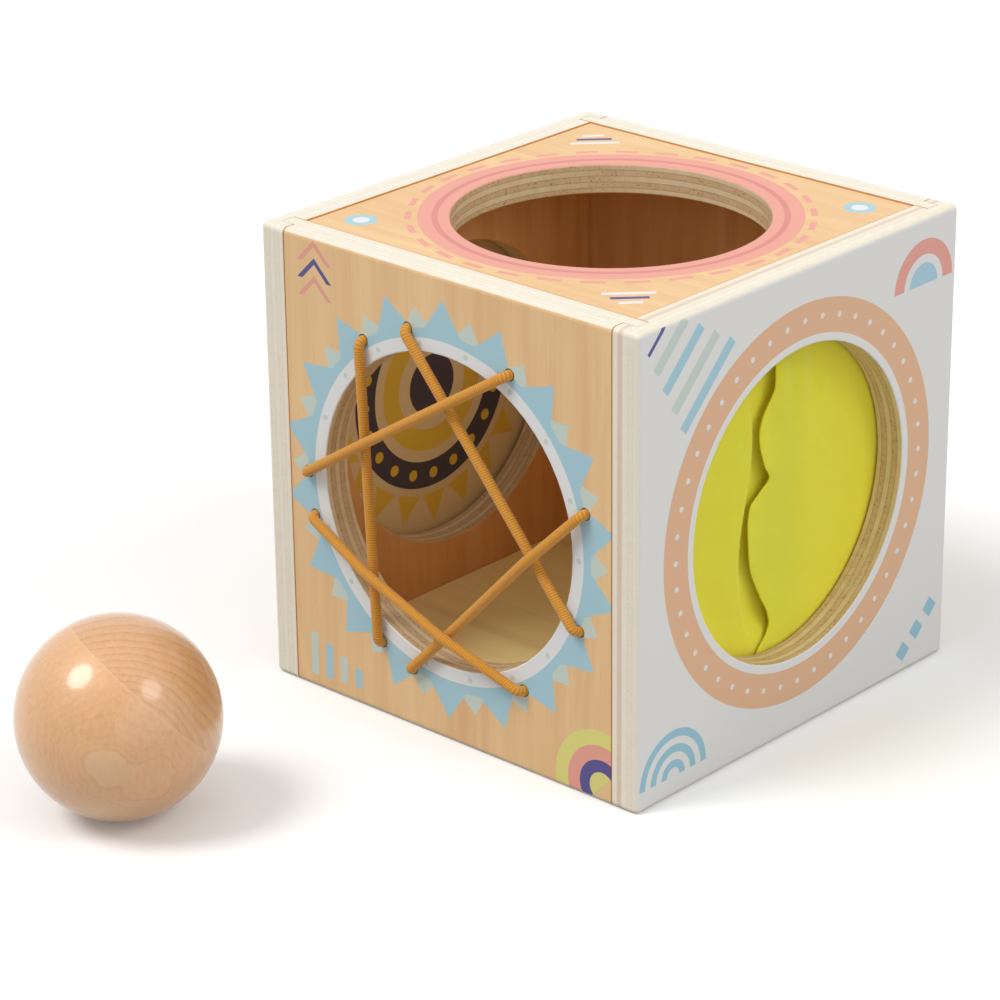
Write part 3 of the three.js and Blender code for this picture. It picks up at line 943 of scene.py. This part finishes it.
def flap(name, node, side, level, edge, depth, material):
    """A sheet from its free edge to the round rim that the ring holds, on the given side."""
    half_height = cloth_radius * math.sin(math.radians(flap_end_angle))
    places, faces = [], []
    for row in range(flap_rows + 1):
        y = half_height * (2 * row / flap_rows - 1)
        rim = side * math.sqrt(cloth_radius ** 2 - y ** 2)
        for column in range(flap_columns + 1):
            x = edge(y) + (rim - edge(y)) * (column / flap_columns) ** column_crowding
            places.append((level + depth(x, y), x, hole_height + y))
    for row in range(flap_rows):
        for column in range(flap_columns):
            first = row * (flap_columns + 1) + column
            above = first + flap_columns + 1
            corners = (first, first + 1, above + 1, above)
            faces.append(corners if side > 0 else tuple(reversed(corners)))
    sheet = new_piece(name, places, faces, material)
    area = sum(face.area for face in sheet.data.polygons)
    body = sheet.modifiers.new("thickness", "SOLIDIFY")
    body.thickness = cloth_thickness
    body.offset = 0.0
    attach(sheet, "box")
    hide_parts(node)
    width = max(abs(side * cloth_radius - edge(0.0)), area / (2 * half_height))


def jersey_material():
    """A thin knit that lets light through, so its folds glow a deeper yellow."""
    look = Look("jersey", {
        "Roughness": 0.8,
        "Sheen Weight": 0.15,
        "Specular IOR Level": 0.15,
        "Subsurface Weight": 0.8,
        "Subsurface Radius": (1.0, 0.8, 0.1),
        "Subsurface Scale": 0.0015,
    })
    _, across, up = look.axes(look.point)
    wales = look.math("SINE", look.scaled(across, 2 * math.pi / wale_pitch))
    courses = look.math("SINE", look.scaled(up, 2 * math.pi / course_pitch))
    knit = look.math("MULTIPLY", wales, courses)
    clouds = look.noise(look.point, 60.0, 3.0)
    fuzz = look.noise(look.point, 3000.0, 2.0)
    cloth = look.mix(clouds, jersey_light, jersey_dark)
    cloth = look.mix(look.scaled(knit, 0.08, 0.08), cloth, jersey_stitch)
    look.colour(look.mix(look.scaled(fuzz, 0.12), cloth, jersey_fuzz))
    look.bump(look.math("ADD", look.scaled(knit, 0.5), look.scaled(fuzz, 0.4)), 0.00008, 0.5)
    return look.material


jersey = jersey_material()
flap("curtain_front", "curtain_front_flap", 1, front_flap_level, front_edge, front_depth, jersey)
flap("curtain_rear", "curtain_rear_flap", -1, rear_flap_level, rear_edge, rear_depth, jersey)


# Ball

def arched_rings(look, point, warp):
    """Distance from the tree's heart in the upper piece of the blank."""
    turn = Vector(upper_heart_along).to_track_quat("Z", "Y").inverted().to_euler()
    local = look.placed(look.placed(point, tuple(-Vector(upper_heart))), turn=tuple(turn))
    across, up, _ = look.axes(local)
    return look.math("ADD", look.length(look.joined(across, up)), look.scaled(warp, upper_ring_sway))


def island_rings(look, point, warp):
    """Distance from the outline of the lower piece's island of grain, and how near its pale lobe is."""
    one = look.length(look.placed(point, tuple(-patch_one)))
    two = look.length(look.placed(point, tuple(-patch_two)))
    one = look.scaled(one, 1.0, -patch_one_radius)
    two = look.scaled(two, 1.0, -patch_two_radius)
    nearest = look.math("SMOOTH_MIN", one, two, patch_blend)
    outline = look.math("ADD", nearest, look.scaled(warp, lower_ring_sway, -lower_ring_sway / 2))
    return outline, look.math("SUBTRACT", two, one)


def ring_shade(look, distance, spacing):
    """0 in the early wood, rising to 1 at the end of each year."""
    year = look.math("FRACT", look.scaled(distance, 1 / spacing))
    return look.math("POWER", year, 3.0)


def ball_material():
    look = Look("turned_wood", {"Roughness": 0.4, "Coat Weight": 0.8, "Coat Roughness": 0.12})
    point = look.placed(look.point, tuple(-ball_centre))
    warp = look.noise(point, 75.0, 2.0, 0.5)
    fibres = look.noise(look.placed(point, scale=(1, 1, 0.35)), 900.0, 3.0, 0.6)
    flecks = look.step(look.noise(look.placed(point, scale=(1, 1, 0.3)), 1700.0, 1.0), 0.58, 0.72)
    cloud = look.noise(point, 40.0, 2.0)
    upper = ring_shade(look, arched_rings(look, point, warp), upper_ring_spacing)
    island, lean = island_rings(look, point, warp)
    lower = ring_shade(look, look.math("MAXIMUM", island, 0.0), lower_ring_spacing)
    side = look.node("ShaderNodeVectorMath", operation="DOT_PRODUCT")
    look.put(point, side.inputs[0])
    side.inputs[1].default_value = glue_normal
    off = look.math("SUBTRACT", side.outputs["Value"], glue_offset)
    half = look.step(off, -glue_blend, glue_blend)
    speckle = look.math("ADD", look.scaled(fibres, 0.6, -0.18), look.scaled(flecks, 0.18))
    upper_shade = look.math("ADD", look.scaled(upper, 0.38), speckle)
    lower_shade = look.math("ADD", look.scaled(lower, 0.13), speckle)
    lower_shade = look.math("ADD", lower_shade, look.scaled(cloud, 0.6, -0.28))
    upper_wood = look.mix(upper_shade, upper_light, upper_dark)
    lower_wood = look.mix(lower_shade, lower_light, lower_dark)
    inner = look.math("SUBTRACT", 1.0, look.step(island, -0.0006, 0.0003))
    pale = look.math("MULTIPLY", inner, look.step(lean, -0.010, 0.006))
    outline = look.math("SUBTRACT", 1.0, look.step(look.math("ABSOLUTE", island), 0.0, 0.0008))
    lower_wood = look.mix(look.scaled(pale, 0.5), lower_wood, island_pale)
    lower_wood = look.mix(look.scaled(outline, 0.16), lower_wood, island_line)
    seam = look.math("SUBTRACT", 1.0, look.step(look.math("ABSOLUTE", off), 0.0, glue_groove_width))
    wood_colour = look.mix(half, lower_wood, upper_wood)
    look.colour(look.mix(look.scaled(seam, 0.35), wood_colour, seam_pale))
    look.bump(look.noise(point, 1600.0, 3.0, 0.6), 0.00006, 0.5)
    return look.material


def turned_ball():
    """A ball with the fine groove that turning leaves along its glue line."""
    shape = bmesh.new()
    bmesh.ops.create_icosphere(shape, subdivisions=ball_subdivisions, radius=ball_radius)
    for corner in shape.verts:
        off = abs(corner.co.dot(glue_normal) - glue_offset)
        dip = glue_groove_depth * (1 - smoothstep(off, 0.0, glue_groove_width))
        corner.co = ball_centre + corner.co.normalized() * (ball_radius - dip)
    mesh = bpy.data.meshes.new("turned_ball")
    shape.to_mesh(mesh)
    shape.free()
    piece = linked("turned_ball", mesh, ball_material())
    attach(piece, "ball")
    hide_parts("ball")


turned_ball()


# Floor, light and camera

def seen_or_mirrored(tree):
    """1 for what the camera sees, directly or in a mirror or through glass."""
    path = tree.nodes.new("ShaderNodeLightPath")
    total = path.outputs["Is Camera Ray"]
    for name in ("Is Glossy Ray", "Is Transmission Ray"):
        joined = tree.nodes.new("ShaderNodeMath")
        joined.operation = "MAXIMUM"
        tree.links.new(total, joined.inputs[0])
        tree.links.new(path.outputs[name], joined.inputs[1])
        total = joined.outputs[0]
    return total


def pale_floor():
    mesh = bpy.data.meshes.new("floor")
    signs = ((-1, -1), (1, -1), (1, 1), (-1, 1))
    corners = [(x * floor_reach, y * floor_reach, -floor_gap) for x, y in signs]
    mesh.from_pydata(corners, [], [(0, 1, 2, 3)])
    floor = bpy.data.objects.new("floor", mesh)
    bpy.context.scene.collection.objects.link(floor)
    look = Look("floor", {"Roughness": 0.9, "Specular IOR Level": 0.1})
    paper = look.noise(look.point, 900.0, 2.0)
    shown = look.mix(paper, floor_light, floor_dark)
    seen = seen_or_mirrored(look.tree)
    look.colour(look.mix(seen, (floor_bounce, floor_bounce, floor_bounce, 1), shown))
    look.shader.inputs["Emission Color"].default_value = (1, 1, 1, 1)
    look.put(look.scaled(seen, floor_glow), look.shader.inputs["Emission Strength"])
    mesh.materials.append(look.material)


def pale_world():
    world = bpy.data.worlds.new("studio")
    bpy.context.scene.world = world
    world.use_nodes = True
    tree = world.node_tree
    ground = tree.nodes["Background"]
    ground.inputs["Strength"].default_value = world_level
    white = tree.nodes.new("ShaderNodeBackground")
    chosen = tree.nodes.new("ShaderNodeMixShader")
    ground.inputs["Color"].default_value = (1, 1, 1, 1)
    white.inputs["Color"].default_value = (1, 1, 1, 1)
    tree.links.new(seen_or_mirrored(tree), chosen.inputs[0])
    tree.links.new(ground.outputs[0], chosen.inputs[1])
    tree.links.new(white.outputs[0], chosen.inputs[2])
    tree.links.new(chosen.outputs[0], tree.nodes["World Output"].inputs["Surface"])


def sun(name, level, azimuth, elevation, angle):
    lamp = bpy.data.lights.new(name, "SUN")
    lamp.energy = level
    lamp.angle = math.radians(angle)
    a, e = math.radians(azimuth), math.radians(elevation)
    toward = Vector((math.sin(a) * math.cos(e), -math.cos(a) * math.cos(e), math.sin(e)))
    held = bpy.data.objects.new(name, lamp)
    held.rotation_euler = toward.to_track_quat("Z", "Y").to_euler()
    bpy.context.scene.collection.objects.link(held)


def photo_camera():
    a, e, r = map(math.radians, (camera_azimuth, camera_elevation, camera_roll))
    backward = Vector((math.sin(a) * math.cos(e), -math.cos(a) * math.cos(e), math.sin(e)))
    level = Vector((math.cos(a), math.sin(a), 0))
    upward = backward.cross(level)
    right = level * math.cos(r) + upward * math.sin(r)
    up = upward * math.cos(r) - level * math.sin(r)
    lens = bpy.data.cameras.new("camera")
    lens.lens = camera_lens
    lens.sensor_width = camera_sensor
    camera = bpy.data.objects.new("camera", lens)
    turn = Matrix((right, up, backward)).transposed().to_4x4()
    camera.matrix_world = Matrix.Translation(camera_place) @ turn
    bpy.context.scene.collection.objects.link(camera)
    bpy.context.scene.camera = camera


pale_floor()
pale_world()
for lamp_name, settings in lamps.items():
    sun(lamp_name, *settings)
photo_camera()
bpy.context.scene.view_settings.view_transform = "Standard"
